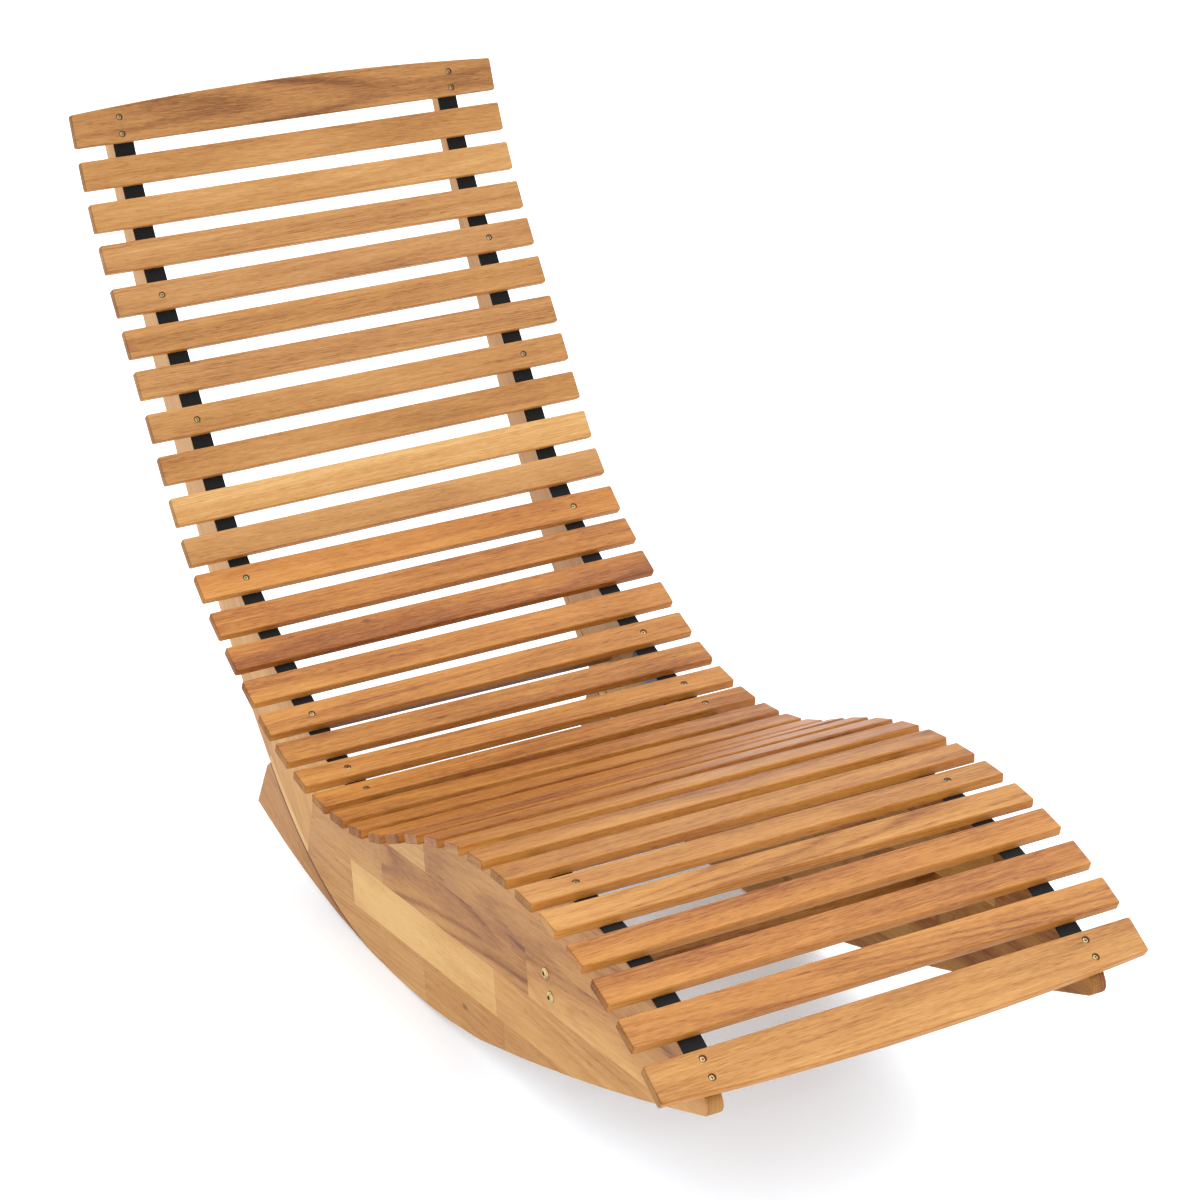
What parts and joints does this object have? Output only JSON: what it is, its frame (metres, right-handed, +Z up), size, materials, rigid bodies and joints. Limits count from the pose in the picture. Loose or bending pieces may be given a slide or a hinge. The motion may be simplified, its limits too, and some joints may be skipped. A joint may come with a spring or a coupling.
{
  "type": "rocking chaise lounge",
  "caption": "Slatted hardwood rocking chaise lounge: an S-curved roll of slats on two webbing straps, carried by two curved side frames that rock on the floor.",
  "frame": {"origin": "on the floor, under the middle of the lounge's outer box, when it balances at rest on its rockers", "axes": "+Z up; +Y along the lounge towards the head end, so the foot end is at -Y; X across the seat, from the left side at -X to the right side at +X, which are mirror images in X = 0"},
  "size_m": [0.603, 1.5698, 0.9159],
  "materials": {
    "slat_wood": "oiled",
    "panel_wood": "oiled",
    "rail_wood": "oiled",
    "heel_wood": "oiled",
    "stretcher_wood": "oiled",
    "dowel_wood": "bare",
    "webbing": "woven",
    "zinc": "zinc plated, yellow passivated",
    "steel": "blue-grey zinc plated"
  },
  "bodies": {
    "root": {"slat_01": "slat_wood", "slat_02": "slat_wood", "slat_03": "slat_wood", "slat_04": "slat_wood", "slat_05": "slat_wood", "slat_06": "slat_wood", "slat_07": "slat_wood", "slat_08": "slat_wood", "slat_09": "slat_wood", "slat_10": "slat_wood", "slat_11": "slat_wood", "slat_12": "slat_wood", "slat_13": "slat_wood", "slat_14": "slat_wood", "slat_15": "slat_wood", "slat_16": "slat_wood", "slat_17": "slat_wood", "slat_18": "slat_wood", "slat_19": "slat_wood", "slat_20": "slat_wood", "slat_21": "slat_wood", "slat_22": "slat_wood", "slat_23": "slat_wood", "slat_24": "slat_wood", "slat_25": "slat_wood", "slat_26": "slat_wood", "slat_27": "slat_wood", "slat_28": "slat_wood", "slat_29": "slat_wood", "slat_30": "slat_wood", "slat_31": "slat_wood", "slat_32": "slat_wood", "slat_33": "slat_wood", "slat_34": "slat_wood", "back_rail_left": "rail_wood", "back_rail_right": "rail_wood", "rocker_panel_left": "panel_wood", "rocker_panel_right": "panel_wood", "heel_strip_left": "heel_wood", "heel_strip_right": "heel_wood", "seam_dowel_left": "dowel_wood", "seam_dowel_right": "dowel_wood", "strap_left": "webbing", "strap_right": "webbing", "front_stretcher": "stretcher_wood", "rear_stretcher": "stretcher_wood", "front_bolt_left_upper": "zinc", "front_bolt_left_lower": "zinc", "front_bolt_right_upper": "zinc", "front_bolt_right_lower": "zinc", "barrel_nut_left_upper": "steel", "barrel_nut_left_lower": "steel", "barrel_nut_right_upper": "steel", "barrel_nut_right_lower": "steel", "rear_dowel_left_upper": "dowel_wood", "rear_dowel_left_lower": "dowel_wood", "rear_dowel_right_upper": "dowel_wood", "rear_dowel_right_lower": "dowel_wood", "joining_plate_left": "steel", "joining_plate_right": "steel"}
  },
  "joints": []
}
